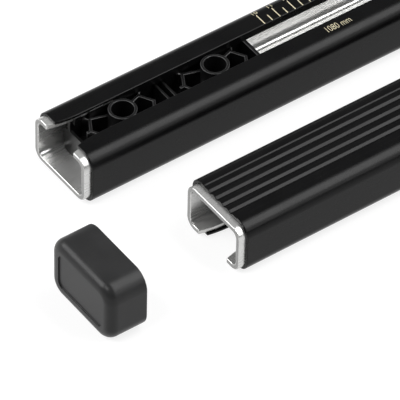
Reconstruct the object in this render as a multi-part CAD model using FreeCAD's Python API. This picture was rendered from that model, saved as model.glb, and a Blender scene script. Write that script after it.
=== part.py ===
import FreeCAD, Part
import math
import os

# A pair of roof crossbars. Each bar is a roll-formed steel C channel in a ribbed plastic
# sleeve, with a moulded insert in the slot near each end and a push-on end cap. One bar lies
# slot up, the other slot down, and the second bar's near cap is pulled off and stands in line.
# All sizes are in millimetres. X runs along the bars from the near ends to the far ends.

# Bar section, measured over the sleeve
BAR_LENGTH = 1080.0
BAR_WIDTH = 32.0
BAR_HEIGHT = 22.0

# Steel channel
STEEL_WALL = 2.0
STEEL_BEND_RADIUS = 2.15
STEEL_CHAMFER = 0.35
LIP_FLARE = 1.65
LIP_FLARE_LENGTH = 11.0

# Plastic sleeve
SLEEVE_WALL = 1.0
SLEEVE_TOP_WALL = 1.6
SLEEVE_SETBACK = 2.8
SLEEVE_FIT = 0.05
SLOT_WIDTH = 11.0
SLOT_FLARE = 1.1
SLOT_FLARE_LENGTH = 10.2
HEM_WALL = 0.8
HEM_CLEARANCE = 5.7

# Ribbed panel on top of the sleeve
PANEL_MARGIN = 1.2
PANEL_DEPTH = 0.3
PANEL_SLOPE = 0.4
GROOVE_PITCH = 3.92
GROOVE_WIDTH = 2.2
GROOVE_FLOOR_WIDTH = 0.4
GROOVE_DEPTH = 0.6
GROOVE_MARGIN = 1.0

# Moulded insert: a deep tray on the slot lips, with rings that stand in the slot and a plate that
# closes the channel ahead of it
INSERT_SETBACK = 9.0
INSERT_DEPTH = 10.5
INSERT_WALL = 1.4
INSERT_FLOOR = 1.2
PLATE_WALL = 1.2
PLATE_WIDTH = 20.4
PLATE_DROP = 4.75
PLATE_RADIUS = 2.0
PLATE_FIT = 0.1
LIP_BEARING = 1.75
RING_PITCH = 39.2
RING_CLEARANCE = 0.35
RING_WALL = 1.1
RING_RECESS = 1.0
RIB_WALL = 1.1
RIB_RECESS = 1.2
KITE_REACH = 13.2
KITE_SHOULDER = 10.25
KITE_INSET = 1.55
KITE_FOOT_ANGLE = 40.0
STUB_REACH = 12.3
TIP_STUB = 1.65
TIP_CLEARANCE = 2.8
TWIN_RIB_SPACING = 2.9
CLIP_FIT = 0.1
CLIP_SPANS = ((1.1, 3.8), (7.4, 13.1))

# End cap
CAP_WALL = 1.35
CAP_FIT = 0.15
CAP_DEPTH = 15.5
CAP_FRONT_WALL = 2.6
CAP_FRONT_ROUND = 3.8
CAP_FRONT_BANDS = 3
CAP_PANEL_MARGIN = 1.2
CAP_PANEL_RADIUS = 2.4
CAP_PANEL_DEPTH = 0.5

# Layout of the set
BAR_SPACING = 56.5
BAR_STAGGER = 24.0
CAP_GAP = 39.5

# Length that a cutting tool runs past the face that it cuts, and how near an edge lies to its plane
OVERRUN = 1.0
IN_PLANE = 1e-4

# Section sizes that follow from the ones above
STEEL_WIDTH = BAR_WIDTH - 2 * SLEEVE_WALL - 2 * SLEEVE_FIT
STEEL_LOW = SLEEVE_WALL + SLEEVE_FIT
STEEL_HIGH = BAR_HEIGHT - SLEEVE_TOP_WALL - SLEEVE_FIT
STEEL_RADIUS = STEEL_BEND_RADIUS + STEEL_WALL
SLEEVE_RADIUS = STEEL_RADIUS + SLEEVE_FIT + SLEEVE_WALL
LIP_INSIDE = STEEL_LOW + STEEL_WALL
WEB_INSIDE = STEEL_HIGH - STEEL_WALL
LIP_GAP = SLOT_WIDTH + 2 * HEM_WALL + 2 * SLEEVE_FIT
HEM_START = INSERT_SETBACK + CLIP_SPANS[-1][1] + HEM_CLEARANCE
PANEL_WIDTH = BAR_WIDTH - 2 * SLEEVE_RADIUS - 2 * PANEL_MARGIN
GROOVE_ROOM = PANEL_WIDTH - 2 * PANEL_SLOPE - 2 * GROOVE_MARGIN - GROOVE_WIDTH
GROOVE_COUNT = 1 + int(GROOVE_ROOM / GROOVE_PITCH)

# Insert sizes that follow
INSERT_WIDTH = LIP_GAP + 2 * LIP_BEARING
INSERT_LENGTH = RING_PITCH + 2 * (KITE_REACH + TIP_CLEARANCE + INSERT_WALL)
TRAY_HALF_WIDTH = INSERT_WIDTH / 2 - INSERT_WALL
RING_OUTER_RADIUS = SLOT_WIDTH / 2 - RING_CLEARANCE

# Cap and layout sizes that follow
CAP_STANDOFF = CAP_WALL + CAP_FIT
SET_LENGTH = CAP_DEPTH + CAP_GAP + BAR_LENGTH + CAP_FRONT_WALL
UPRIGHT_NEAR_X = -SET_LENGTH / 2 + CAP_DEPTH + CAP_GAP
UPTURNED_NEAR_X = UPRIGHT_NEAR_X - BAR_STAGGER
# A bar rests on its near end and on the mouth of its far cap, so it rises a little
REST_SPAN = BAR_LENGTH + CAP_FRONT_WALL - CAP_DEPTH - SLEEVE_SETBACK
REST_SLOPE_DEG = math.degrees(math.atan2(CAP_STANDOFF, REST_SPAN))


def vector(x, y, z):
    return FreeCAD.Vector(x, y, z)


def block(x, y, z):
    """A box from three (low, high) pairs."""
    return Part.makeBox(x[1] - x[0], y[1] - y[0], z[1] - z[0], vector(x[0], y[0], z[0]))


def rounded_outline(start, width, low, high, radius):
    """A rectangle with rounded corners in the plane x = start, centred on y = 0."""
    middle = (low + high) / 2
    reach_y = width / 2 - radius
    reach_z = (high - low) / 2 - radius
    arcs = []
    for side_y, side_z, turn in ((1, 1, 0), (-1, 1, 90), (-1, -1, 180), (1, -1, 270)):
        centre = vector(start, side_y * reach_y, middle + side_z * reach_z)
        points = []
        for step in (0, 45, 90):
            angle = math.radians(turn + step)
            points.append(centre + vector(0, radius * math.cos(angle), radius * math.sin(angle)))
        arcs.append(Part.Arc(*points).toShape())
    edges = []
    for arc, following in zip(arcs, arcs[1:] + arcs[:1]):
        edges.append(arc)
        edges.append(Part.makeLine(arc.Vertexes[-1].Point, following.Vertexes[0].Point))
    return Part.Wire(edges)


def rounded_bar(start, end, width, low, high, radius):
    """A bar along X whose section is a rectangle with rounded corners."""
    outline = rounded_outline(start, width, low, high, radius)
    return Part.Face(outline).extrude(vector(end - start, 0, 0))


def prism(points, along):
    """A straight prism over a flat outline."""
    return Part.Face(Part.makePolygon(points + points[:1])).extrude(along)


def slot_cutter(width, flare, flare_length, start, low, high):
    """The slot through the lips, its edges curving out to a wider mouth at each end of the bar."""
    half = width / 2
    radius = (flare_length ** 2 + flare ** 2) / (2 * flare)
    mid_x = flare_length / 2
    mid_flare = radius - math.sqrt(radius ** 2 - mid_x ** 2)
    cutter = block((start - OVERRUN, BAR_LENGTH - start + OVERRUN), (-half, half), (low, high))
    for end_x, inward in ((start, 1), (BAR_LENGTH - start, -1)):
        throat_x = end_x + inward * flare_length
        past_x = end_x - inward * OVERRUN
        edges = [Part.makeLine(vector(throat_x, half, low), vector(throat_x, -half, low)),
                 Part.makeLine(vector(past_x, half + flare, low), vector(past_x, -half - flare, low))]
        for side in (1, -1):
            throat = vector(throat_x, side * half, low)
            middle = vector(throat_x - inward * mid_x, side * (half + mid_flare), low)
            corner = vector(end_x, side * (half + flare), low)
            edges.append(Part.Arc(throat, middle, corner).toShape())
            edges.append(Part.makeLine(corner, vector(past_x, side * (half + flare), low)))
        mouth = Part.Face(Part.Wire(Part.__sortEdges__(edges)))
        cutter = cutter.fuse(mouth.extrude(vector(0, 0, high - low)))
    return cutter


def end_edges(shape):
    """The edges that lie in the two end faces of a bar."""
    chosen = []
    for edge in shape.Edges:
        box = edge.BoundBox
        at_end = abs(box.XMin) < IN_PLANE or abs(box.XMin - BAR_LENGTH) < IN_PLANE
        if at_end and box.XLength < IN_PLANE:
            chosen.append(edge)
    return chosen


def steel_channel():
    outside = rounded_bar(0, BAR_LENGTH, STEEL_WIDTH, STEEL_LOW, STEEL_HIGH, STEEL_RADIUS)
    inside = rounded_bar(-OVERRUN, BAR_LENGTH + OVERRUN, STEEL_WIDTH - 2 * STEEL_WALL,
                         LIP_INSIDE, WEB_INSIDE, STEEL_BEND_RADIUS)
    slot = slot_cutter(LIP_GAP, LIP_FLARE, LIP_FLARE_LENGTH, 0,
                       STEEL_LOW - OVERRUN, LIP_INSIDE + OVERRUN)
    channel = outside.cut(inside).cut(slot)
    return channel.makeChamfer(STEEL_CHAMFER, end_edges(channel))


def ribbed_panel_cutter():
    """The shallow sunk panel on top of the sleeve with its row of V grooves."""
    floor = BAR_HEIGHT - PANEL_DEPTH
    bottom = floor - GROOVE_DEPTH
    above = BAR_HEIGHT + OVERRUN
    start = SLEEVE_SETBACK - OVERRUN
    outline = [vector(start, PANEL_WIDTH / 2, above), vector(start, PANEL_WIDTH / 2, BAR_HEIGHT),
               vector(start, PANEL_WIDTH / 2 - PANEL_SLOPE, floor)]
    for index in range(GROOVE_COUNT):
        centre = ((GROOVE_COUNT - 1) / 2 - index) * GROOVE_PITCH
        outline.append(vector(start, centre + GROOVE_WIDTH / 2, floor))
        outline.append(vector(start, centre + GROOVE_FLOOR_WIDTH / 2, bottom))
        outline.append(vector(start, centre - GROOVE_FLOOR_WIDTH / 2, bottom))
        outline.append(vector(start, centre - GROOVE_WIDTH / 2, floor))
    outline += [vector(start, PANEL_SLOPE - PANEL_WIDTH / 2, floor),
                vector(start, -PANEL_WIDTH / 2, BAR_HEIGHT), vector(start, -PANEL_WIDTH / 2, above)]
    return prism(outline, vector(BAR_LENGTH - 2 * start, 0, 0))


def plastic_sleeve():
    start = SLEEVE_SETBACK
    end = BAR_LENGTH - SLEEVE_SETBACK
    outside = rounded_bar(start, end, BAR_WIDTH, 0, BAR_HEIGHT, SLEEVE_RADIUS)
    inside = rounded_bar(start - OVERRUN, end + OVERRUN, BAR_WIDTH - 2 * SLEEVE_WALL, SLEEVE_WALL,
                         BAR_HEIGHT - SLEEVE_TOP_WALL, SLEEVE_RADIUS - SLEEVE_WALL)
    hem_half = SLOT_WIDTH / 2 + HEM_WALL
    hems = block((HEM_START, BAR_LENGTH - HEM_START), (-hem_half, hem_half), (0, LIP_INSIDE))
    slot = slot_cutter(SLOT_WIDTH, SLOT_FLARE, SLOT_FLARE_LENGTH, start, -OVERRUN, LIP_INSIDE + OVERRUN)
    return outside.cut(inside).fuse(hems).cut(slot).cut(ribbed_panel_cutter()).removeSplitter()


def thin_wall(points, low, high):
    """An upright wall of the insert along straight runs between plan points, mitred at the corners."""
    route = [vector(x, y, low) for x, y in points]
    normals = []
    for here, there in zip(route, route[1:]):
        run = (there - here).normalize()
        normals.append(vector(-run.y, run.x, 0))
    left = []
    right = []
    for point, before, after in zip(route, normals[:1] + normals, normals + normals[-1:]):
        reach = (before + after) * (RIB_WALL / 2 / (1 + before.dot(after)))
        left.append(point + reach)
        right.append(point - reach)
    return prism(left + right[::-1], vector(0, 0, high - low))


def ring_cell(centre_x, low, high, ring_low):
    """A round ring with a kite of thin walls on each side, tied to the tray by short stubs."""
    foot_radius = RING_OUTER_RADIUS - RING_WALL / 2
    foot_x = foot_radius * math.cos(math.radians(KITE_FOOT_ANGLE))
    foot_y = foot_radius * math.sin(math.radians(KITE_FOOT_ANGLE))
    shoulder_y = TRAY_HALF_WIDTH - KITE_INSET
    wall_y = TRAY_HALF_WIDTH + INSERT_WALL / 2
    ring = Part.makeCylinder(RING_OUTER_RADIUS, high - ring_low, vector(centre_x, 0, ring_low))
    near_tip_x = centre_x - KITE_REACH
    walls = [thin_wall([(near_tip_x, 0), (near_tip_x - TIP_STUB, 0)], low, high)]
    for end in (1, -1):
        foot = centre_x + end * foot_x
        shoulder = centre_x + end * KITE_SHOULDER
        tip = centre_x + end * KITE_REACH
        kite = [(foot, foot_y), (shoulder, shoulder_y), (tip, 0), (shoulder, -shoulder_y), (foot, -foot_y)]
        walls.append(thin_wall(kite, low, high))
        for side in (1, -1):
            stub = (centre_x + end * STUB_REACH, side * wall_y)
            walls.append(thin_wall([(shoulder, side * shoulder_y), stub], low, high))
    bore = Part.makeCylinder(RING_OUTER_RADIUS - RING_WALL, high - ring_low, vector(centre_x, 0, ring_low))
    return ring.fuse(walls).cut(bore)


def slot_insert():
    """The insert at the near end, its tray standing on the lips inside the channel."""
    start = INSERT_SETBACK
    end = start + INSERT_LENGTH
    low = LIP_INSIDE
    high = low + INSERT_DEPTH
    floor = high - INSERT_FLOOR
    half = INSERT_WIDTH / 2
    tray = block((start, end), (-half, half), (low, high))
    tray = tray.cut(block((start - OVERRUN, end - INSERT_WALL),
                          (-TRAY_HALF_WIDTH, TRAY_HALF_WIDTH), (low, floor)))
    pieces = [rounded_bar(start, start + PLATE_WALL, PLATE_WIDTH, low + PLATE_DROP,
                          WEB_INSIDE - PLATE_FIT, PLATE_RADIUS)]
    middle = (start + end) / 2
    rib_low = low + RIB_RECESS
    wall_y = TRAY_HALF_WIDTH + INSERT_WALL / 2
    for side in (1, -1):
        pieces.append(ring_cell(middle + side * RING_PITCH / 2, rib_low, high, RING_RECESS))
        twin_x = middle + side * TWIN_RIB_SPACING / 2
        pieces.append(thin_wall([(twin_x, -wall_y), (twin_x, wall_y)], rib_low, high))
    # Clips that stand beside the lip edges where the sleeve's hem is trimmed away
    clip_inner = SLOT_WIDTH / 2 - CLIP_FIT
    clip_outer = LIP_GAP / 2 - CLIP_FIT
    for span in CLIP_SPANS:
        clip_x = (start + span[0], start + span[1])
        for side in (1, -1):
            clip_y = sorted((side * clip_inner, side * clip_outer))
            lug_y = sorted((side * clip_inner, side * half))
            pieces.append(block(clip_x, clip_y, (SLEEVE_WALL + CLIP_FIT, low)))
            pieces.append(block(clip_x, lug_y, (low, low + INSERT_WALL)))
    return tray.fuse(pieces).removeSplitter()


def end_cap():
    """The push-on cap, closed at x = 0 and open towards +X, whose socket seats on the steel's end."""
    width = BAR_WIDTH + 2 * CAP_STANDOFF
    low = -CAP_STANDOFF
    high = BAR_HEIGHT + CAP_STANDOFF
    radius = SLEEVE_RADIUS + CAP_STANDOFF
    # The rounded front grows in narrow bands from the face to the full section
    outlines = []
    for band in range(CAP_FRONT_BANDS + 1):
        angle = math.radians(90 * band / CAP_FRONT_BANDS)
        inset = CAP_FRONT_ROUND * (1 - math.sin(angle))
        setback = CAP_FRONT_ROUND * (1 - math.cos(angle))
        outlines.append(rounded_outline(setback, width - 2 * inset, low + inset, high - inset,
                                        radius - inset))
    front = Part.makeLoft(outlines, True, True)
    shell = front.fuse(rounded_bar(CAP_FRONT_ROUND, CAP_DEPTH, width, low, high, radius))
    rim = CAP_FRONT_ROUND + CAP_PANEL_MARGIN
    panel = rounded_bar(-OVERRUN, CAP_PANEL_DEPTH, width - 2 * rim, low + rim, high - rim, CAP_PANEL_RADIUS)
    socket = rounded_bar(CAP_FRONT_WALL, CAP_DEPTH + OVERRUN, BAR_WIDTH + 2 * CAP_FIT, -CAP_FIT,
                         BAR_HEIGHT + CAP_FIT, SLEEVE_RADIUS + CAP_FIT)
    return shell.cut(panel).cut(socket)


def at_far_end(shape):
    """Turn a piece of the near end round to the far end of the bar."""
    turned = shape.copy()
    turned.rotate(vector(BAR_LENGTH / 2, 0, 0), vector(0, 0, 1), 180)
    return turned


def bar_pieces():
    """One bar standing slot down, with its near end at x = 0 and its cap only at the far end."""
    insert = slot_insert()
    fitted_cap = end_cap().translated(vector(-CAP_FRONT_WALL, 0, 0))
    return {
        "steel_channel": steel_channel(),
        "plastic_sleeve": plastic_sleeve(),
        "near_insert": insert,
        "far_insert": at_far_end(insert),
        "end_cap": at_far_end(fitted_cap),
    }


def place_bar(shape, near_x, centre_y, upturned):
    """Lay a piece of a bar on the floor with the bar, slot up or slot down."""
    placed = shape.copy()
    if upturned:
        placed.rotate(vector(0, 0, BAR_HEIGHT / 2), vector(1, 0, 0), 180)
    placed.rotate(vector(SLEEVE_SETBACK, 0, 0), vector(0, 1, 0), -REST_SLOPE_DEG)
    return placed.translated(vector(near_x, centre_y, 0))


def crossbar_set():
    nodes = {}
    for name, piece in bar_pieces().items():
        nodes["upturned_bar_" + name] = place_bar(piece, UPTURNED_NEAR_X, BAR_SPACING / 2, True)
        nodes["upright_bar_" + name] = place_bar(piece, UPRIGHT_NEAR_X, -BAR_SPACING / 2, False)
    cap_place = vector(-SET_LENGTH / 2, -BAR_SPACING / 2, CAP_STANDOFF)
    nodes["loose_end_cap"] = end_cap().translated(cap_place)
    return nodes


os.makedirs("parts", exist_ok=True)
for node_name, node_shape in crossbar_set().items():
    node_shape.exportStep("parts/" + node_name + ".step")
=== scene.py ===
import math
import bmesh
import bpy
from mathutils import Matrix, Vector


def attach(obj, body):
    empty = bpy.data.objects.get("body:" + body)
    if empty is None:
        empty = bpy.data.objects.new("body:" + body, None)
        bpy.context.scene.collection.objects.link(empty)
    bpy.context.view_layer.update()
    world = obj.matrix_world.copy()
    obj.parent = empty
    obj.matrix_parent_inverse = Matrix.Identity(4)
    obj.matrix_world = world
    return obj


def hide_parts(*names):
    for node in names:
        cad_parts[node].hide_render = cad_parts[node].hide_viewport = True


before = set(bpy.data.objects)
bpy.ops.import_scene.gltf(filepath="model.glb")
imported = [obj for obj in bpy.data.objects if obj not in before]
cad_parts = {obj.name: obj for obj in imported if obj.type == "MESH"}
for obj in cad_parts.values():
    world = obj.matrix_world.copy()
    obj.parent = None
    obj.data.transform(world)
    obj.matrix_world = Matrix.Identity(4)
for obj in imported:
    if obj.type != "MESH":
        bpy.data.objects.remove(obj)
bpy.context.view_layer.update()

# A pair of roof crossbars and a loose end cap, dressed for the studio. Sizes are in millimetres,
# as in the part's source, and MM brings them to metres. A bar's own frame has its near end at
# x = 0, its slot facing down and the lip face of its sleeve at z = 0.
MM = 0.001

# Bar section and steel channel
BAR_LENGTH = 1080.0
BAR_WIDTH = 32.0
BAR_HEIGHT = 22.0
STEEL_WALL = 2.0
STEEL_BEND_RADIUS = 2.15
STEEL_END_ROUND = 0.35
STEEL_TIP_ROUND = 0.4
LIP_FLARE = 1.65
LIP_FLARE_LENGTH = 11.0

# Plastic sleeve
SLEEVE_WALL = 1.0
SLEEVE_TOP_WALL = 1.6
SLEEVE_SETBACK = 2.8
SLEEVE_FIT = 0.05
SLEEVE_END_ROUND = 0.22
SLOT_WIDTH = 11.0
SLOT_EDGE_ROUND = 0.4
SLOT_FLARE = 1.1
SLOT_FLARE_LENGTH = 10.2
HEM_WALL = 0.8
HEM_START = 27.8
HEM_STEP = 0.02

# Ribbed panel
PANEL_MARGIN = 1.2
PANEL_DEPTH = 0.3
PANEL_SLOPE = 0.4
GROOVE_COUNT = 4
GROOVE_PITCH = 3.92
GROOVE_WIDTH = 2.2
GROOVE_FLOOR_WIDTH = 0.4
GROOVE_DEPTH = 0.6

# Moulded insert
INSERT_EDGE_ROUND = 0.25

# End cap
CAP_WALL = 1.35
CAP_FIT = 0.15
CAP_DEPTH = 15.5
CAP_FRONT_WALL = 2.6
CAP_FRONT_ROUND = 3.8
CAP_MOUTH_ROUND = 0.5
CAP_SOCKET_ROUND = 0.4
CAP_PANEL_MARGIN = 1.2
CAP_PANEL_RADIUS = 2.4
CAP_PANEL_DEPTH = 0.5
CAP_PANEL_EDGE = 0.12

# Layout of the set
BAR_SPACING = 56.5
BAR_STAGGER = 24.0
CAP_GAP = 39.5

# Printed scale on the sleeve beside the slot
TICK_START = 91.3
TICK_PITCH = 6.64
TICK_COUNT = 45
TICK_EDGE = 5.75
TICK_LONG = 5.1
TICK_SHORT = 3.2
TICK_WIDTH = 0.36
INK_THICKNESS = 0.03
NUMBER_FIRST = 10
NUMBER_HEIGHT = 1.9
NUMBER_LOW = 11.5
LENGTH_WORDS = "1080 mm"
LENGTH_START = 107.0
LENGTH_RUN = 10.3
LENGTH_HEIGHT = 2.9
LENGTH_LOW = 7.7
INK_SLICE = 0.3
WORD_THINNING = 0.012

# Sizes that follow
STEEL_WIDTH = BAR_WIDTH - 2 * SLEEVE_WALL - 2 * SLEEVE_FIT
STEEL_LOW = SLEEVE_WALL + SLEEVE_FIT
STEEL_HIGH = BAR_HEIGHT - SLEEVE_TOP_WALL - SLEEVE_FIT
STEEL_RADIUS = STEEL_BEND_RADIUS + STEEL_WALL
SLEEVE_RADIUS = STEEL_RADIUS + SLEEVE_FIT + SLEEVE_WALL
LIP_INSIDE = STEEL_LOW + STEEL_WALL
LIP_GAP = SLOT_WIDTH + 2 * HEM_WALL + 2 * SLEEVE_FIT
PANEL_WIDTH = BAR_WIDTH - 2 * SLEEVE_RADIUS - 2 * PANEL_MARGIN
CAP_STANDOFF = CAP_WALL + CAP_FIT
SET_LENGTH = CAP_DEPTH + CAP_GAP + BAR_LENGTH + CAP_FRONT_WALL
UPRIGHT_NEAR_X = -SET_LENGTH / 2 + CAP_DEPTH + CAP_GAP
UPTURNED_NEAR_X = UPRIGHT_NEAR_X - BAR_STAGGER
REST_SPAN = BAR_LENGTH + CAP_FRONT_WALL - CAP_DEPTH - SLEEVE_SETBACK
REST_SLOPE = math.atan2(CAP_STANDOFF, REST_SPAN)

# Fineness of the meshes
BEND_STEPS = 10
EDGE_STEPS = 3
FLARE_STEPS = 10
RUN_STEPS = 24
CAP_CORNER_STEPS = 12
CAP_ROUND_STEPS = 10
MERGE_DISTANCE = 0.002
SHARP_ANGLE = math.radians(32)
FLAT_ANGLE = math.radians(1)
LEVEL_FACE = 0.99
UPRIGHT_FACE = 0.1
WORD_STEPS = 3


def bar_matrix(near_x, centre_y, upturned):
    """From a bar's own millimetres to its place on the floor, in metres."""
    pivot = Matrix.Translation((SLEEVE_SETBACK, 0, 0))
    lean = pivot @ Matrix.Rotation(-REST_SLOPE, 4, "Y") @ pivot.inverted()
    turn = Matrix.Identity(4)
    if upturned:
        middle = Matrix.Translation((0, 0, BAR_HEIGHT / 2))
        turn = middle @ Matrix.Rotation(math.pi, 4, "X") @ middle.inverted()
    return Matrix.Scale(MM, 4) @ Matrix.Translation((near_x, centre_y, 0)) @ lean @ turn


MID_BAR = Matrix.Translation((BAR_LENGTH / 2, 0, 0))
FAR_END = MID_BAR @ Matrix.Rotation(math.pi, 4, "Z") @ MID_BAR.inverted()
BARS = {
    "upturned_bar": bar_matrix(UPTURNED_NEAR_X, BAR_SPACING / 2, True),
    "upright_bar": bar_matrix(UPRIGHT_NEAR_X, -BAR_SPACING / 2, False),
}


# Node helpers
def put(tree, kind, inputs=None, **settings):
    """Add a node, set its properties, then fill or link its inputs by name or by number."""
    node = tree.nodes.new(kind)
    for name, value in settings.items():
        setattr(node, name, value)
    for key, value in (inputs or {}).items():
        socket = node.inputs[key]
        if isinstance(value, bpy.types.NodeSocket):
            tree.links.new(value, socket)
        else:
            socket.default_value = value
    return node


def declare(tree, sockets):
    """Give a node group its named inputs and outputs."""
    for name, direction, kind in sockets:
        tree.interface.new_socket(name=name, in_out=direction, socket_type=kind)


def math_node(tree, operation, first, second):
    return put(tree, "ShaderNodeMath", {0: first, 1: second}, operation=operation).outputs[0]


def spread(tree, value, low, high):
    """A mask from 0 to 1 stretched over a range of values."""
    node = put(tree, "ShaderNodeMapRange", {"Value": value, "To Min": low, "To Max": high})
    return node.outputs["Result"]


def rise(tree, value, low, high):
    """A mask that goes from 0 to 1 while a value goes from low to high."""
    node = put(tree, "ShaderNodeMapRange", {"Value": value, "From Min": low, "From Max": high})
    return node.outputs["Result"]


# Shader groups for effects that several finishes share
NOISE_LOW = 0.3
NOISE_HIGH = 0.7
BAND_SCALE = 0.17
CLOUD_SCALE = 90.0


def drawn_lines_group():
    """Fine lines along the bar, as drawing through a die or a nozzle leaves them."""
    tree = bpy.data.node_groups.new("Drawn lines", "ShaderNodeTree")
    declare(tree, (("Vector", "INPUT", "NodeSocketVector"), ("Across", "INPUT", "NodeSocketFloat"),
                   ("Along", "INPUT", "NodeSocketFloat"), ("Lines", "OUTPUT", "NodeSocketFloat"),
                   ("Bands", "OUTPUT", "NodeSocketFloat")))
    given = put(tree, "NodeGroupInput").outputs
    scale = put(tree, "ShaderNodeCombineXYZ",
                {"X": given["Along"], "Y": given["Across"], "Z": given["Across"]}).outputs[0]
    stretch = put(tree, "ShaderNodeVectorMath", {0: given["Vector"], 1: scale}, operation="MULTIPLY")
    fine = put(tree, "ShaderNodeTexNoise",
               {"Vector": stretch.outputs[0], "Scale": 1.0, "Detail": 3.0, "Roughness": 0.65})
    broad = put(tree, "ShaderNodeTexNoise",
                {"Vector": stretch.outputs[0], "Scale": BAND_SCALE, "Detail": 1.0})
    put(tree, "NodeGroupOutput", {"Lines": rise(tree, fine.outputs[0], NOISE_LOW, NOISE_HIGH),
                                  "Bands": rise(tree, broad.outputs[0], NOISE_LOW, NOISE_HIGH)})
    return tree


def moulded_grain_group():
    """The fine pebbled grain of moulded plastic, with larger clouds of handling marks."""
    tree = bpy.data.node_groups.new("Moulded grain", "ShaderNodeTree")
    declare(tree, (("Vector", "INPUT", "NodeSocketVector"), ("Fineness", "INPUT", "NodeSocketFloat"),
                   ("Grain", "OUTPUT", "NodeSocketFloat"), ("Clouds", "OUTPUT", "NodeSocketFloat")))
    given = put(tree, "NodeGroupInput").outputs
    grain = put(tree, "ShaderNodeTexNoise",
                {"Vector": given["Vector"], "Scale": given["Fineness"], "Detail": 2.0})
    clouds = put(tree, "ShaderNodeTexNoise",
                 {"Vector": given["Vector"], "Scale": CLOUD_SCALE, "Detail": 3.0})
    put(tree, "NodeGroupOutput", {"Grain": grain.outputs[0],
                                  "Clouds": rise(tree, clouds.outputs[0], NOISE_LOW, NOISE_HIGH)})
    return tree


DRAWN_LINES = drawn_lines_group()
MOULDED_GRAIN = moulded_grain_group()


def finish_tree(name):
    """A new material with its Principled shader and the piece's own coordinates."""
    material = bpy.data.materials.new(name)
    material.use_nodes = True
    tree = material.node_tree
    shader = tree.nodes["Principled BSDF"]
    place = put(tree, "ShaderNodeTexCoord").outputs["Object"]
    return material, tree, shader, place


def drawn_lines(tree, place, across, along):
    node = put(tree, "ShaderNodeGroup", {"Vector": place, "Across": across, "Along": along},
               node_tree=DRAWN_LINES)
    return node.outputs


def moulded_grain(tree, place, fineness):
    node = put(tree, "ShaderNodeGroup", {"Vector": place, "Fineness": fineness}, node_tree=MOULDED_GRAIN)
    return node.outputs


def between(tree, mask, dark, light):
    """A colour that runs from dark, which may be a mixed colour, to light with a mask."""
    first = dark if isinstance(dark, bpy.types.NodeSocket) else (*dark, 1)
    node = put(tree, "ShaderNodeMix", {"Factor": mask, 6: first, 7: (*light, 1)}, data_type="RGBA")
    return node.outputs[2]


def relief(tree, shader, height, depth):
    """Raise the surface by a height mask, depth in metres."""
    bump = put(tree, "ShaderNodeBump", {"Height": height, "Strength": 1.0, "Distance": depth})
    tree.links.new(bump.outputs[0], shader.inputs["Normal"])


# Finishes: colours from dark to light, ranges of roughness, lines across and along, relief in metres
ZINC_DARK = (0.62, 0.62, 0.61)
ZINC_LIGHT = (0.69, 0.69, 0.68)
ZINC_ROUGHNESS = (0.24, 0.29)
ZINC_METALLIC = 0.72
ZINC_LINES = (2600.0, 30.0)
ZINC_RELIEF = 2e-7
SAWN_COLOUR = (0.34, 0.34, 0.335)
SAWN_START = 0.75
SAWN_ROUGHNESS = 0.2
SLEEVE_DARK = (0.0028, 0.0028, 0.003)
SLEEVE_LIGHT = (0.0042, 0.0042, 0.0044)
SLEEVE_ROUGHNESS = (0.25, 0.3)
SLEEVE_CLOUDS = (-0.02, 0.03)
SLEEVE_GLOSS = 0.155
SLEEVE_LINES = (1500.0, 12.0)
SLEEVE_LINE_SHARE = 0.6
SLEEVE_GRAIN = 6000.0
SLEEVE_GRAIN_SHARE = 0.4
SLEEVE_RELIEF = 4e-6
MOULDED_CLOUDS = 0.04
INK_DARK = (0.55, 0.5, 0.33)
INK_LIGHT = (0.75, 0.69, 0.5)
INK_ROUGHNESS = (0.45, 0.6)
INK_GRAIN = 5000.0


def zinc_steel():
    """Zinc coated strip with fine drawn lines, duller on the sawn faces at the ends of the bar."""
    material, tree, shader, place = finish_tree("zinc_steel")
    lines = drawn_lines(tree, place, *ZINC_LINES)
    inset = put(tree, "ShaderNodeAttribute", attribute_name="inset").outputs["Fac"]
    sawn = rise(tree, inset, SAWN_START * STEEL_END_ROUND, STEEL_END_ROUND)
    coated = between(tree, lines["Lines"], ZINC_DARK, ZINC_LIGHT)
    tree.links.new(between(tree, sawn, coated, SAWN_COLOUR), shader.inputs["Base Color"])
    rough = math_node(tree, "ADD", spread(tree, lines["Bands"], *ZINC_ROUGHNESS),
                      spread(tree, sawn, 0.0, SAWN_ROUGHNESS))
    tree.links.new(rough, shader.inputs["Roughness"])
    shader.inputs["Metallic"].default_value = ZINC_METALLIC
    relief(tree, shader, lines["Lines"], ZINC_RELIEF)
    return material


def black_sleeve():
    """A satin extrusion with faint lines along the bar."""
    material, tree, shader, place = finish_tree("black_sleeve")
    lines = drawn_lines(tree, place, *SLEEVE_LINES)
    grain = moulded_grain(tree, place, SLEEVE_GRAIN)
    tree.links.new(between(tree, grain["Clouds"], SLEEVE_DARK, SLEEVE_LIGHT), shader.inputs["Base Color"])
    rough = math_node(tree, "ADD", spread(tree, lines["Bands"], *SLEEVE_ROUGHNESS),
                      spread(tree, grain["Clouds"], *SLEEVE_CLOUDS))
    tree.links.new(rough, shader.inputs["Roughness"])
    shader.inputs["Specular IOR Level"].default_value = SLEEVE_GLOSS
    height = math_node(tree, "ADD", math_node(tree, "MULTIPLY", lines["Lines"], SLEEVE_LINE_SHARE),
                       math_node(tree, "MULTIPLY", grain["Grain"], SLEEVE_GRAIN_SHARE))
    relief(tree, shader, height, SLEEVE_RELIEF)
    return material


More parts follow.
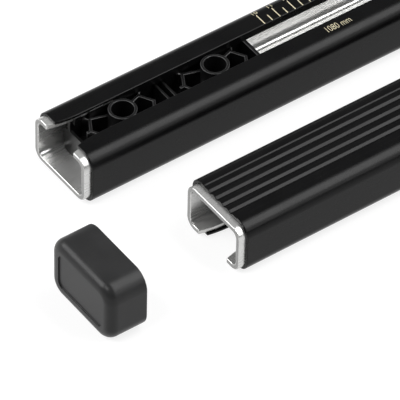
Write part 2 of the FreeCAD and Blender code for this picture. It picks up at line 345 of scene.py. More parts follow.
def moulded_black(name, dark, light, rough, fineness, depth, gloss, painted_highlight=None):
    """A black moulding with fine grain, duller and glossier in clouds, and a painted highlight: a paler base
    colour along marked rounded edges.
    """
    material, tree, shader, place = finish_tree(name)
    grain = moulded_grain(tree, place, fineness)
    colour = between(tree, grain["Clouds"], dark, light)
    # Painted highlight: the marked rounded edges get a paler base colour in place of light caught there
    if painted_highlight:
        edge = put(tree, "ShaderNodeAttribute", attribute_name="painted_highlight").outputs["Fac"]
        colour = between(tree, edge, colour, painted_highlight)
    tree.links.new(colour, shader.inputs["Base Color"])
    clouded = spread(tree, grain["Clouds"], rough - MOULDED_CLOUDS, rough + MOULDED_CLOUDS)
    tree.links.new(clouded, shader.inputs["Roughness"])
    shader.inputs["Specular IOR Level"].default_value = gloss
    relief(tree, shader, grain["Grain"], depth)
    return material


def cream_ink():
    material, tree, shader, place = finish_tree("cream_ink")
    grain = moulded_grain(tree, place, INK_GRAIN)
    tree.links.new(between(tree, grain["Grain"], INK_DARK, INK_LIGHT), shader.inputs["Base Color"])
    tree.links.new(spread(tree, grain["Clouds"], *INK_ROUGHNESS), shader.inputs["Roughness"])
    return material


ZINC_STEEL = zinc_steel()
BLACK_SLEEVE = black_sleeve()
# The insert's last colour is a painted highlight for its rounded rims
BLACK_INSERT = moulded_black("black_insert", dark=(0.003, 0.003, 0.0031), light=(0.0045, 0.0045, 0.0047),
                             rough=0.34, fineness=5000.0, depth=1.5e-6, gloss=0.4, painted_highlight=(0.06, 0.06, 0.061))
BLACK_CAP = moulded_black("black_cap", dark=(0.022, 0.022, 0.0225), light=(0.028, 0.028, 0.0285),
                          rough=0.34, fineness=4200.0, depth=5e-6, gloss=0.2)
CREAM_INK = cream_ink()


# Sections of the drawn pieces
class Section:
    """A closed outline in a bar's Y and Z, with what each point does near the ends of the bar."""

    def __init__(self):
        self.points = []
        self.inward = []
        self.mouth = []
        self.hem = []

    def add(self, y, z, inward_y, inward_z, mouth=0.0, hem=0.0):
        self.points.append((y, z))
        self.inward.append((0.0, inward_y, inward_z))
        self.mouth.append(mouth)
        self.hem.append(hem)

    def arc(self, centre_y, centre_z, radius, start, end, steps, hollow=False, mouth=0.0):
        """Points round a corner from one angle to another. A hollow corner has its material outside."""
        side = 1 if hollow else -1
        for step in range(steps + 1):
            angle = math.radians(start + (end - start) * step / steps)
            across, up = math.cos(angle), math.sin(angle)
            self.add(centre_y + radius * across, centre_z + radius * up, side * across, side * up, mouth)


def steel_section():
    section = Section()
    reach_y = STEEL_WIDTH / 2 - STEEL_RADIUS
    low_z = STEEL_LOW + STEEL_RADIUS
    high_z = STEEL_HIGH - STEEL_RADIUS
    tip_y = LIP_GAP / 2 + STEEL_TIP_ROUND
    tip_low = STEEL_LOW + STEEL_TIP_ROUND
    tip_high = LIP_INSIDE - STEEL_TIP_ROUND
    section.arc(tip_y, tip_low, STEEL_TIP_ROUND, 180, 270, EDGE_STEPS, mouth=1.0)
    section.arc(reach_y, low_z, STEEL_RADIUS, 270, 360, BEND_STEPS)
    section.arc(reach_y, high_z, STEEL_RADIUS, 0, 90, BEND_STEPS)
    section.arc(-reach_y, high_z, STEEL_RADIUS, 90, 180, BEND_STEPS)
    section.arc(-reach_y, low_z, STEEL_RADIUS, 180, 270, BEND_STEPS)
    section.arc(-tip_y, tip_low, STEEL_TIP_ROUND, 270, 360, EDGE_STEPS, mouth=-1.0)
    section.arc(-tip_y, tip_high, STEEL_TIP_ROUND, 0, 90, EDGE_STEPS, mouth=-1.0)
    section.arc(-reach_y, low_z, STEEL_BEND_RADIUS, 270, 180, BEND_STEPS, hollow=True)
    section.arc(-reach_y, high_z, STEEL_BEND_RADIUS, 180, 90, BEND_STEPS, hollow=True)
    section.arc(reach_y, high_z, STEEL_BEND_RADIUS, 90, 0, BEND_STEPS, hollow=True)
    section.arc(reach_y, low_z, STEEL_BEND_RADIUS, 0, -90, BEND_STEPS, hollow=True)
    section.arc(tip_y, tip_high, STEEL_TIP_ROUND, 90, 180, EDGE_STEPS, mouth=1.0)
    return section


def ribbed_panel(section):
    """The sunk panel on the load face, from its +Y edge to its -Y edge, with its grooves."""
    floor = BAR_HEIGHT - PANEL_DEPTH
    outline = [(PANEL_WIDTH / 2, BAR_HEIGHT), (PANEL_WIDTH / 2 - PANEL_SLOPE, floor)]
    for index in range(GROOVE_COUNT):
        centre = ((GROOVE_COUNT - 1) / 2 - index) * GROOVE_PITCH
        outline.append((centre + GROOVE_WIDTH / 2, floor))
        outline.append((centre + GROOVE_FLOOR_WIDTH / 2, floor - GROOVE_DEPTH))
        outline.append((centre - GROOVE_FLOOR_WIDTH / 2, floor - GROOVE_DEPTH))
        outline.append((centre - GROOVE_WIDTH / 2, floor))
    outline += [(PANEL_SLOPE - PANEL_WIDTH / 2, floor), (-PANEL_WIDTH / 2, BAR_HEIGHT)]
    for y, z in outline:
        section.add(y, z, 0.0, -1.0)


def sleeve_section():
    section = Section()
    inner_radius = SLEEVE_RADIUS - SLEEVE_WALL
    reach_y = BAR_WIDTH / 2 - SLEEVE_RADIUS
    low_z = SLEEVE_RADIUS
    high_z = BAR_HEIGHT - SLEEVE_RADIUS
    inner_high_z = BAR_HEIGHT - SLEEVE_TOP_WALL - inner_radius
    slot_y = SLOT_WIDTH / 2
    edge_y = slot_y + SLOT_EDGE_ROUND
    hem_y = slot_y + HEM_WALL
    section.arc(edge_y, SLOT_EDGE_ROUND, SLOT_EDGE_ROUND, 180, 270, EDGE_STEPS, mouth=1.0)
    section.arc(reach_y, low_z, SLEEVE_RADIUS, 270, 360, BEND_STEPS)
    section.arc(reach_y, high_z, SLEEVE_RADIUS, 0, 90, BEND_STEPS)
    ribbed_panel(section)
    section.arc(-reach_y, high_z, SLEEVE_RADIUS, 90, 180, BEND_STEPS)
    section.arc(-reach_y, low_z, SLEEVE_RADIUS, 180, 270, BEND_STEPS)
    section.arc(-edge_y, SLOT_EDGE_ROUND, SLOT_EDGE_ROUND, 270, 360, EDGE_STEPS, mouth=-1.0)
    section.add(-slot_y, LIP_INSIDE, -1.0, -1.0, mouth=-1.0, hem=1.0)
    section.add(-hem_y, LIP_INSIDE, 0.0, -1.0, mouth=-1.0, hem=1.0)
    section.add(-hem_y, SLEEVE_WALL, 0.0, -1.0, mouth=-1.0)
    section.arc(-reach_y, low_z, inner_radius, 270, 180, BEND_STEPS, hollow=True)
    section.arc(-reach_y, inner_high_z, inner_radius, 180, 90, BEND_STEPS, hollow=True)
    section.arc(reach_y, inner_high_z, inner_radius, 90, 0, BEND_STEPS, hollow=True)
    section.arc(reach_y, low_z, inner_radius, 0, -90, BEND_STEPS, hollow=True)
    section.add(hem_y, SLEEVE_WALL, 0.0, -1.0, mouth=1.0)
    section.add(hem_y, LIP_INSIDE, 0.0, -1.0, mouth=1.0, hem=1.0)
    section.add(slot_y, LIP_INSIDE, 1.0, -1.0, mouth=1.0, hem=1.0)
    return section


# Stations along a bar, each with what it does to the section there
def flare_at(distance, flare, flare_length):
    """How far a lip stands back at a distance from its end, on the arc that widens the mouth."""
    radius = (flare_length ** 2 + flare ** 2) / (2 * flare)
    left = max(flare_length - distance, 0.0)
    return radius - math.sqrt(radius ** 2 - left ** 2)


def bar_stations(start, end_round, flare, flare_length, hem_start):
    """(x, inset, flare, hem cut) along the near half of a bar, mirrored to the far half."""
    near = []
    for step in range(EDGE_STEPS + 1):
        angle = math.radians(90 * step / EDGE_STEPS)
        near.append((end_round * (1 - math.cos(angle)), end_round * (1 - math.sin(angle)), 1.0))
    for step in range(1, FLARE_STEPS + 1):
        near.append((end_round + (flare_length - end_round) * step / FLARE_STEPS, 0.0, 1.0))
    if hem_start:
        near.append((hem_start - start - HEM_STEP, 0.0, 1.0))
        near.append((hem_start - start, 0.0, 0.0))
    last = near[-1][0]
    half = BAR_LENGTH / 2 - start
    for step in range(1, RUN_STEPS + 1):
        near.append((last + (half - last) * step / RUN_STEPS, 0.0, 0.0))
    stations = [(start + x, inset, flare_at(x, flare, flare_length), cut) for x, inset, cut in near]
    return stations + [(BAR_LENGTH - x, *rest) for x, *rest in reversed(stations[:-1])]


# Geometry Nodes: a section drawn along a bar
def drawn_section_tree():
    """Sweeps a section along a run, rounds its ends, flares its mouth and trims its hem."""
    tree = bpy.data.node_groups.new("Drawn section", "GeometryNodeTree")
    declare(tree, (("Run", "INPUT", "NodeSocketGeometry"), ("Section", "INPUT", "NodeSocketObject"),
                   ("Hem trimmed to", "INPUT", "NodeSocketFloat"), ("Finish", "INPUT", "NodeSocketMaterial"),
                   ("Piece", "OUTPUT", "NodeSocketGeometry")))
    given = put(tree, "NodeGroupInput").outputs

    def stored(name, kind="FLOAT"):
        named = put(tree, "GeometryNodeInputNamedAttribute", {"Name": name}, data_type=kind)
        return named.outputs["Attribute"]

    outline = put(tree, "GeometryNodeObjectInfo", {"Object": given["Section"]})
    profile = put(tree, "GeometryNodeMeshToCurve", {"Mesh": outline.outputs["Geometry"]})
    run = put(tree, "GeometryNodeMeshToCurve", {"Mesh": given["Run"]})
    swept = put(tree, "GeometryNodeCurveToMesh",
                {"Curve": run.outputs[0], "Profile Curve": profile.outputs[0], "Fill Caps": True})
    inset = put(tree, "ShaderNodeVectorMath", {0: stored("inward", "FLOAT_VECTOR"), "Scale": stored("inset")},
                operation="SCALE")
    widened = math_node(tree, "MULTIPLY", stored("mouth"), stored("flare"))
    aside = put(tree, "ShaderNodeCombineXYZ", {"Y": widened})
    position = put(tree, "GeometryNodeInputPosition").outputs[0]
    height = put(tree, "ShaderNodeSeparateXYZ", {0: position}).outputs["Z"]
    drop = math_node(tree, "SUBTRACT", given["Hem trimmed to"], height)
    trim = math_node(tree, "MULTIPLY", math_node(tree, "MULTIPLY", stored("hem"), stored("hem_cut")), drop)
    down = put(tree, "ShaderNodeCombineXYZ", {"Z": trim})
    moved = put(tree, "ShaderNodeVectorMath", {0: inset.outputs[0], 1: aside.outputs[0]}, operation="ADD")
    offset = put(tree, "ShaderNodeVectorMath", {0: moved.outputs[0], 1: down.outputs[0]}, operation="ADD")
    shaped = put(tree, "GeometryNodeSetPosition", {"Geometry": swept.outputs[0], "Offset": offset.outputs[0]})
    whole = put(tree, "GeometryNodeRealizeInstances", {"Geometry": shaped.outputs[0]})
    dressed = put(tree, "GeometryNodeSetMaterial",
                  {"Geometry": whole.outputs[0], "Material": given["Finish"]})
    put(tree, "NodeGroupOutput", {"Piece": dressed.outputs[0]})
    return tree


def polyline_object(name, points, closed):
    """A helper object of points joined in a row."""
    mesh = bpy.data.meshes.new(name)
    edges = [(index, index + 1) for index in range(len(points) - 1)]
    if closed:
        edges.append((len(points) - 1, 0))
    mesh.from_pydata(points, edges, [])
    helper = bpy.data.objects.new(name, mesh)
    bpy.context.scene.collection.objects.link(helper)
    return helper


def store(helper, name, values, kind="FLOAT"):
    """Keep a value for each point of a helper object."""
    layer = helper.data.attributes.new(name, kind, "POINT")
    if kind == "FLOAT":
        layer.data.foreach_set("value", values)
    else:
        layer.data.foreach_set("vector", [number for vector in values for number in vector])


def set_inputs(modifier, values):
    """Set a tree's inputs by their sockets' identifiers."""
    for item in modifier.node_group.interface.items_tree:
        if item.in_out == "INPUT" and item.name in values:
            modifier[item.identifier] = values[item.name]


def plain_mesh(name, worked):
    """The result of an object's modifiers as a mesh of its own. The helper object is deleted."""
    bpy.context.view_layer.update()
    evaluated = worked.evaluated_get(bpy.context.evaluated_depsgraph_get())
    mesh = bpy.data.meshes.new_from_object(evaluated)
    mesh.name = name
    bpy.data.objects.remove(worked)
    return mesh


def drawn_mesh(name, section, stations, hem_floor, finish):
    """A mesh of a section drawn along a bar, in the bar's own frame."""
    # Sweeping along +X lays a section's X on -Y and its Y on -Z
    outline = polyline_object(name + "_section", [(-y, -z, 0.0) for y, z in section.points], True)
    store(outline, "inward", section.inward, "FLOAT_VECTOR")
    store(outline, "mouth", section.mouth)
    store(outline, "hem", section.hem)
    run = polyline_object(name + "_run", [(station[0], 0.0, 0.0) for station in stations], False)
    for column, label in enumerate(("inset", "flare", "hem_cut"), start=1):
        store(run, label, [station[column] for station in stations])
    modifier = run.modifiers.new("Drawn section", "NODES")
    modifier.node_group = DRAWN_SECTION
    set_inputs(modifier, {"Section": outline, "Hem trimmed to": hem_floor, "Finish": finish})
    mesh = plain_mesh(name, run)
    bpy.data.objects.remove(outline)
    return closed_up(mesh)


def closed_up(mesh):
    """Merge doubled points, turn every face outwards and shade all but the sharp edges smooth."""
    shell = bmesh.new()
    shell.from_mesh(mesh)
    bmesh.ops.remove_doubles(shell, verts=shell.verts, dist=MERGE_DISTANCE)
    bmesh.ops.dissolve_degenerate(shell, edges=shell.edges, dist=MERGE_DISTANCE)
    bmesh.ops.recalc_face_normals(shell, faces=shell.faces)
    shell.to_mesh(mesh)
    shell.free()
    mesh.shade_smooth()
    mesh.set_sharp_from_angle(angle=SHARP_ANGLE)
    return mesh


def show(name, mesh, matrix, slot, *nodes):
    """Lay a mesh in its place as a piece of the object that stands for CAD nodes."""
    mesh.transform(matrix)
    piece = bpy.data.objects.new(name, mesh)
    bpy.context.scene.collection.objects.link(piece)
    flat = piece.modifiers.new("Flat faces stay flat", "WEIGHTED_NORMAL")
    flat.keep_sharp = True
    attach(piece, "root")
    if nodes:
        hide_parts(*nodes)


DRAWN_SECTION = drawn_section_tree()

# Steel channels and sleeves
steel = drawn_mesh("steel", steel_section(),
                   bar_stations(0.0, STEEL_END_ROUND, LIP_FLARE, LIP_FLARE_LENGTH, None), 0.0, ZINC_STEEL)
sleeve = drawn_mesh("sleeve", sleeve_section(),
                    bar_stations(SLEEVE_SETBACK, SLEEVE_END_ROUND, SLOT_FLARE, SLOT_FLARE_LENGTH, HEM_START),
                    SLEEVE_WALL, BLACK_SLEEVE)
for bar, matrix in BARS.items():
    show(bar + "_channel", steel.copy(), matrix, "zinc_steel", bar + "_steel_channel")
    show(bar + "_sleeve", sleeve.copy(), matrix, "black_sleeve", bar + "_plastic_sleeve")


# End caps
def rounded_ring(x, inset, radius):
    """A cap's outline at x, drawn in by an inset, with its own corner radius."""
    reach_y = BAR_WIDTH / 2 + CAP_STANDOFF - inset - radius
    reach_z = BAR_HEIGHT / 2 + CAP_STANDOFF - inset - radius
    ring = []
    for side_y, side_z, turn in ((1, 1, 0), (-1, 1, 90), (-1, -1, 180), (1, -1, 270)):
        for step in range(CAP_CORNER_STEPS + 1):
            angle = math.radians(turn + 90 * step / CAP_CORNER_STEPS)
            ring.append((x, side_y * reach_y + radius * math.cos(angle),
                         BAR_HEIGHT / 2 + side_z * reach_z + radius * math.sin(angle)))
    return ring


def cap_rings():
    """Outlines from the middle of the sunk front panel, over the outside, to the floor of the socket."""
    full = SLEEVE_RADIUS + CAP_STANDOFF
    rim = CAP_FRONT_ROUND + CAP_PANEL_MARGIN
    edge = CAP_PANEL_EDGE
    rings = [rounded_ring(CAP_PANEL_DEPTH, rim + edge, CAP_PANEL_RADIUS - edge),
             rounded_ring(CAP_PANEL_DEPTH - edge, rim, CAP_PANEL_RADIUS),
             rounded_ring(edge, rim, CAP_PANEL_RADIUS),
             rounded_ring(0.0, rim - edge, CAP_PANEL_RADIUS + edge)]
    for step in range(CAP_ROUND_STEPS + 1):
        angle = math.radians(90 * step / CAP_ROUND_STEPS)
        inset = CAP_FRONT_ROUND * (1 - math.sin(angle))
        rings.append(rounded_ring(CAP_FRONT_ROUND * (1 - math.cos(angle)), inset, full - inset))
    for step in range(EDGE_STEPS + 1):
        angle = math.radians(90 * step / EDGE_STEPS)
        inset = CAP_MOUTH_ROUND * (1 - math.cos(angle))
        rings.append(rounded_ring(CAP_DEPTH - CAP_MOUTH_ROUND * (1 - math.sin(angle)), inset, full - inset))
    socket = full - CAP_WALL
    rings.append(rounded_ring(CAP_DEPTH, CAP_WALL - edge, socket + edge))
    rings.append(rounded_ring(CAP_DEPTH - edge, CAP_WALL, socket))
    for step in range(EDGE_STEPS + 1):
        angle = math.radians(90 * step / EDGE_STEPS)
        inset = CAP_SOCKET_ROUND * (1 - math.cos(angle))
        rings.append(rounded_ring(CAP_FRONT_WALL + CAP_SOCKET_ROUND * (1 - math.sin(angle)),
                                  CAP_WALL + inset, socket - inset))
    return rings


def cap_mesh():
    shell = bmesh.new()
    loops = [[shell.verts.new(point) for point in ring] for ring in cap_rings()]
    for loop, following in zip(loops, loops[1:]):
        for index in range(len(loop)):
            after = (index + 1) % len(loop)
            shell.faces.new((loop[index], loop[after], following[after], following[index]))
    shell.faces.new(loops[0])
    shell.faces.new(loops[-1])
    mesh = bpy.data.meshes.new("cap")
    shell.to_mesh(mesh)
    shell.free()
    mesh.materials.append(BLACK_CAP)
    return closed_up(mesh)


cap = cap_mesh()
fitted = FAR_END @ Matrix.Translation((-CAP_FRONT_WALL, 0, 0))
for bar, matrix in BARS.items():
    show(bar + "_cap", cap.copy(), matrix @ fitted, "black_cap", bar + "_end_cap")
loose = Matrix.Scale(MM, 4) @ Matrix.Translation((-SET_LENGTH / 2, -BAR_SPACING / 2, CAP_STANDOFF))
show("loose_cap", cap.copy(), loose, "black_cap", "loose_end_cap")


# Slot inserts, copied from the CAD with their moulded edges eased
def eased_insert(node, slot_side):
    """A CAD insert in millimetres, with the rims that face the slot rounded and their roundings marked for a
    painted highlight.
    """
    shell = bmesh.new()
    shell.from_mesh(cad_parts[node].data)
    shell.transform(Matrix.Scale(1 / MM, 4))
    bmesh.ops.remove_doubles(shell, verts=shell.verts, dist=MERGE_DISTANCE)
    bmesh.ops.dissolve_limit(shell, angle_limit=FLAT_ANGLE, verts=shell.verts, edges=shell.edges)
    painted_highlight = shell.verts.layers.float.new("painted_highlight")
    rims = []
    for edge in shell.edges:
        if edge.is_convex and edge.calc_face_angle() > SHARP_ANGLE:
            wall, top = sorted(face.normal.z * slot_side for face in edge.link_faces)
            if top > LEVEL_FACE and abs(wall) < UPRIGHT_FACE:
                rims.append(edge)
    eased = bmesh.ops.bevel(shell, geom=rims, offset=INSERT_EDGE_ROUND, offset_type="OFFSET",
                            segments=EDGE_STEPS, profile=0.5, affect="EDGES", clamp_overlap=False)
    rounding = set(eased["faces"])
    # Points wholly inside a rounding are marked to take the painted highlight colour
    for vert in shell.verts:
        vert[painted_highlight] = float(all(face in rounding for face in vert.link_faces))
    mesh = bpy.data.meshes.new(node + "_eased")
    shell.to_mesh(mesh)
    shell.free()
    mesh.materials.append(BLACK_INSERT)
    mesh.shade_smooth()
    mesh.set_sharp_from_angle(angle=SHARP_ANGLE)
    return mesh


for bar, slot_side in (("upturned_bar", 1), ("upright_bar", -1)):
    for end in ("near", "far"):
        node = bar + "_" + end + "_insert"
        eased = eased_insert(node, slot_side)
        show(bar + "_" + end + "_slot_insert", eased, Matrix.Scale(MM, 4), "black_insert", node)


# Printed scale
def scale_ticks_tree():
    """Long and short ticks in turn, set out along the slot from one edge."""
    tree = bpy.data.node_groups.new("Scale ticks", "GeometryNodeTree")
    declare(tree, (("Long ticks", "INPUT", "NodeSocketInt"), ("Pitch", "INPUT", "NodeSocketFloat"),
                   ("Start", "INPUT", "NodeSocketFloat"), ("Slot edge", "INPUT", "NodeSocketFloat"),
                   ("Long", "INPUT", "NodeSocketFloat"), ("Short", "INPUT", "NodeSocketFloat"),
                   ("Width", "INPUT", "NodeSocketFloat"), ("Thickness", "INPUT", "NodeSocketFloat"),
                   ("Ink", "INPUT", "NodeSocketMaterial"), ("Ticks", "OUTPUT", "NodeSocketGeometry")))
    given = put(tree, "NodeGroupInput").outputs
    count = math_node(tree, "SUBTRACT", math_node(tree, "MULTIPLY", given["Long ticks"], 2.0), 1.0)
    step = put(tree, "ShaderNodeCombineXYZ", {"X": math_node(tree, "MULTIPLY", given["Pitch"], 0.5)})
    start = put(tree, "ShaderNodeCombineXYZ", {"X": given["Start"]})
    row = put(tree, "GeometryNodeMeshLine", {"Count": count, "Start Location": start.outputs[0],
                                             "Offset": step.outputs[0]})
    index = put(tree, "GeometryNodeInputIndex").outputs[0]
    is_short = math_node(tree, "MODULO", index, 2.0)
    change = math_node(tree, "SUBTRACT", given["Short"], given["Long"])
    length = math_node(tree, "ADD", math_node(tree, "MULTIPLY", is_short, change), given["Long"])
    middle = math_node(tree, "ADD", math_node(tree, "MULTIPLY", length, 0.5), given["Slot edge"])
    aside = put(tree, "ShaderNodeCombineXYZ", {"Y": middle})
    spaced = put(tree, "GeometryNodeSetPosition", {"Geometry": row.outputs[0], "Offset": aside.outputs[0]})
    stroke = put(tree, "GeometryNodeMeshCube", {"Size": (1.0, 1.0, 1.0)})
    size = put(tree, "ShaderNodeCombineXYZ", {"X": given["Width"], "Y": length, "Z": given["Thickness"]})
    ticks = put(tree, "GeometryNodeInstanceOnPoints",
                {"Points": spaced.outputs[0], "Instance": stroke.outputs[0], "Scale": size.outputs[0]})
    whole = put(tree, "GeometryNodeRealizeInstances", {"Geometry": ticks.outputs[0]})
    dressed = put(tree, "GeometryNodeSetMaterial", {"Geometry": whole.outputs[0], "Material": given["Ink"]})
    put(tree, "NodeGroupOutput", {"Ticks": dressed.outputs[0]})
    return tree


SCALE_TICKS = scale_ticks_tree()


def tick_mesh():
    helper = polyline_object("ticks_helper", [(0.0, 0.0, 0.0)], False)
    modifier = helper.modifiers.new("Scale ticks", "NODES")
    modifier.node_group = SCALE_TICKS
    set_inputs(modifier, {"Long ticks": TICK_COUNT, "Pitch": TICK_PITCH, "Start": TICK_START,
                          "Slot edge": TICK_EDGE, "Long": TICK_LONG, "Short": TICK_SHORT,
                          "Width": TICK_WIDTH, "Thickness": INK_THICKNESS, "Ink": CREAM_INK})
    return plain_mesh("scale_ticks", helper)


def word_mesh(words, height, run=None):
    """Printed words lying flat, from x = 0, either centred there or stretched to a run."""
    curve = bpy.data.curves.new("words", "FONT")
    curve.body = words
    # Extruded to a thickness of one, which the ink's thickness then scales
    curve.extrude = 0.5
    curve.offset = -WORD_THINNING
    curve.resolution_u = WORD_STEPS
    curve.align_x = "LEFT" if run else "CENTER"
    helper = bpy.data.objects.new("words_helper", curve)
    bpy.context.scene.collection.objects.link(helper)
    mesh = plain_mesh("words", helper)
    points = [vertex.co for vertex in mesh.vertices]
    low_y = min(point.y for point in points)
    high_y = max(point.y for point in points)
    low_x = min(point.x for point in points)
    high_x = max(point.x for point in points)
    scale_y = height / (high_y - low_y)
    scale_x = run / (high_x - low_x) if run else scale_y
    shift = Matrix.Translation((-low_x if run else 0.0, -low_y, 0.0))
    mesh.transform(Matrix.Diagonal((scale_x, scale_y, INK_THICKNESS, 1.0)) @ shift)
    return mesh


def wrap_on_sleeve(mesh):
    """Slice flat ink along the bar and lay it on the sleeve's slot side, round its corners."""
    sheet = bmesh.new()
    sheet.from_mesh(mesh)
    bmesh.ops.remove_doubles(sheet, verts=sheet.verts, dist=MERGE_DISTANCE)
    flat_half = BAR_WIDTH / 2 - SLEEVE_RADIUS
    for side in (1, -1):
        for cut in range(int(SLEEVE_RADIUS / INK_SLICE)):
            parts = list(sheet.verts) + list(sheet.edges) + list(sheet.faces)
            bmesh.ops.bisect_plane(sheet, geom=parts, plane_no=(0, 1, 0),
                                   plane_co=(0, side * (flat_half + cut * INK_SLICE), 0))
    for vertex in sheet.verts:
        past = max(abs(vertex.co.y) - flat_half, 0.0)
        angle = past / SLEEVE_RADIUS
        lift = SLEEVE_RADIUS - vertex.co.z
        if past:
            vertex.co.y = math.copysign(flat_half + lift * math.sin(angle), vertex.co.y)
            vertex.co.z = SLEEVE_RADIUS - lift * math.cos(angle)
    sheet.to_mesh(mesh)
    sheet.free()
    return mesh


def joined(name, meshes):
    """Several meshes in one."""
    whole = bmesh.new()
    for mesh in meshes:
        whole.from_mesh(mesh)
    result = bpy.data.meshes.new(name)
    whole.to_mesh(result)
    whole.free()
    result.materials.append(CREAM_INK)
    return result


def scale_mesh():
    """Ticks and numbers beside the slot, and the bar's length on the other lip, for one end of a bar."""
    # Seen slot up, the scale lies on the far lip, so its Y is turned over with the bar
    turn_over = Matrix.Rotation(math.pi, 4, "X")
    marks = [tick_mesh()]
    for index in range(TICK_COUNT):
        number = word_mesh(str(NUMBER_FIRST + index), NUMBER_HEIGHT)
        number.transform(Matrix.Translation((TICK_START + index * TICK_PITCH, NUMBER_LOW, 0.0)))
        marks.append(number)
    length = word_mesh(LENGTH_WORDS, LENGTH_HEIGHT, LENGTH_RUN)
    length.transform(Matrix.Translation((LENGTH_START, -LENGTH_LOW - LENGTH_HEIGHT, 0.0)))
    marks.append(length)
    for mark in marks:
        mark.transform(turn_over)
    return wrap_on_sleeve(joined("scale", marks))


scale = scale_mesh()
for bar, matrix in BARS.items():
    show(bar + "_near_scale", scale.copy(), matrix, "black_sleeve")
    show(bar + "_far_scale", scale.copy(), matrix @ FAR_END, "black_sleeve")


# Floor
FLOOR_SIZE = 80.0
FLOOR_DROP = 0.0002
FLOOR_GLOW = 0.8
FLOOR_TONE = 0.25
FLOOR_ROUGHNESS = 0.9
FLOOR_GLOSS = 0.1


def pale_floor():
    """A floor that shows pale to the eye and in mirrors, and keeps the shadows."""
    material, tree, shader, _ = finish_tree("pale_floor")
    shader.inputs["Base Color"].default_value = (FLOOR_TONE, FLOOR_TONE, FLOOR_TONE, 1)
    shader.inputs["Roughness"].default_value = FLOOR_ROUGHNESS
    shader.inputs["Specular IOR Level"].default_value = FLOOR_GLOSS
    path = put(tree, "ShaderNodeLightPath").outputs
    seen = math_node(tree, "MAXIMUM", path["Is Camera Ray"],
                     math_node(tree, "MAXIMUM", path["Is Glossy Ray"], path["Is Transmission Ray"]))
    shader.inputs["Emission Color"].default_value = (1, 1, 1, 1)
    tree.links.new(math_node(tree, "MULTIPLY", seen, FLOOR_GLOW), shader.inputs["Emission Strength"])
    return material


floor_mesh = bpy.data.meshes.new("floor")
half_floor = FLOOR_SIZE / 2
floor_corners = ((-1, -1), (1, -1), (1, 1), (-1, 1))
floor_points = [(x * half_floor, y * half_floor, -FLOOR_DROP) for x, y in floor_corners]
floor_mesh.from_pydata(floor_points, [], [(0, 1, 2, 3)])
floor_mesh.materials.append(pale_floor())
floor = bpy.data.objects.new("floor", floor_mesh)
bpy.context.scene.collection.objects.link(floor)

# Studio light
HORIZON_TOP = 0.07
SKY_START = 0.12
SKY_TURN = 0.35
SKY_FRONT = 0.02
SKY_BACK = 0.28


def studio_world():
    """A white horizon that meets the floor, under a dim grey studio."""
    world = bpy.data.worlds.new("studio")
    world.use_nodes = True
    tree = world.node_tree
    direction = put(tree, "ShaderNodeTexCoord").outputs["Generated"]
    parts = put(tree, "ShaderNodeSeparateXYZ", {0: direction}).outputs
    sky = put(tree, "ShaderNodeMapRange",
              {"Value": parts["Y"], "From Min": -SKY_TURN, "From Max": SKY_TURN,
               "To Min": SKY_FRONT, "To Max": SKY_BACK}, interpolation_type="SMOOTHSTEP")
    level = put(tree, "ShaderNodeMapRange",
                {"Value": parts["Z"], "From Min": HORIZON_TOP, "From Max": SKY_START,
                 "To Min": 1.0, "To Max": sky.outputs[0]})
    tree.links.new(level.outputs[0], tree.nodes["Background"].inputs["Color"])
    bpy.context.scene.world = world


def soft_box(name, place, aim, width, depth, radiance):
    """An area lamp that shows a given brightness, aimed at a point, its width running along the bars."""
    data = bpy.data.lights.new(name, "AREA")
    data.shape = "RECTANGLE"
    data.size = width
    data.size_y = depth
    data.energy = radiance * math.pi * width * depth
    lamp = bpy.data.objects.new(name, data)
    backward = (Vector(place) - Vector(aim)).normalized()
    sideways = Vector((1, 0, 0)) - backward * backward.x
    sideways.normalize()
    turned = Matrix((sideways, backward.cross(sideways), backward)).transposed().to_4x4()
    lamp.matrix_world = Matrix.Translation(place) @ turned
    bpy.context.scene.collection.objects.link(lamp)


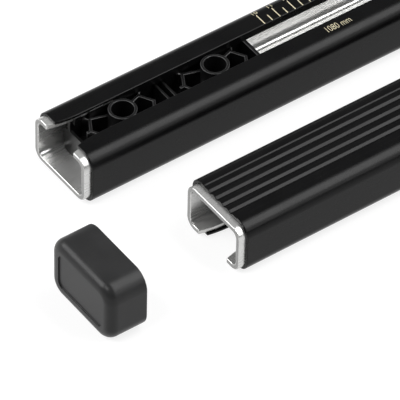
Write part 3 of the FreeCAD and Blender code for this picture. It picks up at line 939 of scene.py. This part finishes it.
# The lamps aim at the near ends, in metres
FRONT_AIM = (-0.42, 0.0, 0.0)
BACK_AIM = (-0.45, 0.0, 0.0)
studio_world()
soft_box("broad_box", place=(0.21, -0.68, 1.18), aim=FRONT_AIM, width=0.6, depth=2.4, radiance=2.7)
soft_box("key_box", place=(0.2, -0.53, 1.24), aim=FRONT_AIM, width=0.6, depth=1.1, radiance=4.7)
soft_box("back_box", place=(-1.38, 0.84, 0.84), aim=BACK_AIM, width=0.8, depth=0.9, radiance=6.2)
soft_box("left_box", place=(-1.33, -0.07, 1.18), aim=BACK_AIM, width=0.5, depth=0.5, radiance=7.0)

# Camera at the photograph's angle: it looks at the middle of the upturned bar's near end
IMAGE_SIZE = 400
FOCAL_PIXELS = 5000.0
SENSOR_WIDTH = 36.0
CLIP_END = 100.0
VIEW_AZIMUTH = math.radians(36.79)
VIEW_ELEVATION = math.radians(44.91)
VIEW_ROLL = math.radians(1.41)
END_PIXEL = (59.55, 160.15)
END_SCALE = 2.918


def studio_camera():
    across = Vector((math.cos(VIEW_AZIMUTH), -math.sin(VIEW_AZIMUTH), 0))
    away = Vector((math.sin(VIEW_AZIMUTH), math.cos(VIEW_AZIMUTH), 0))
    upward = Vector((0, 0, 1))
    forward = away * math.cos(VIEW_ELEVATION) - upward * math.sin(VIEW_ELEVATION)
    up = away * math.sin(VIEW_ELEVATION) + upward * math.cos(VIEW_ELEVATION)
    right = across * math.cos(VIEW_ROLL) + up * math.sin(VIEW_ROLL)
    up = up * math.cos(VIEW_ROLL) - across * math.sin(VIEW_ROLL)
    distance = FOCAL_PIXELS / END_SCALE * MM
    offset_x = (END_PIXEL[0] - IMAGE_SIZE / 2) / FOCAL_PIXELS
    offset_y = (END_PIXEL[1] - IMAGE_SIZE / 2) / FOCAL_PIXELS
    target = Vector((UPTURNED_NEAR_X, BAR_SPACING / 2, BAR_HEIGHT / 2)) * MM
    data = bpy.data.cameras.new("camera")
    data.sensor_width = SENSOR_WIDTH
    data.lens = FOCAL_PIXELS / IMAGE_SIZE * SENSOR_WIDTH
    data.clip_end = CLIP_END
    camera = bpy.data.objects.new("camera", data)
    bpy.context.scene.collection.objects.link(camera)
    turned = Matrix((right, up, -forward)).transposed().to_4x4()
    place = target - (forward + right * offset_x - up * offset_y) * distance
    camera.matrix_world = Matrix.Translation(place) @ turned
    bpy.context.scene.camera = camera


studio_camera()
bpy.context.scene.view_settings.view_transform = "Standard"
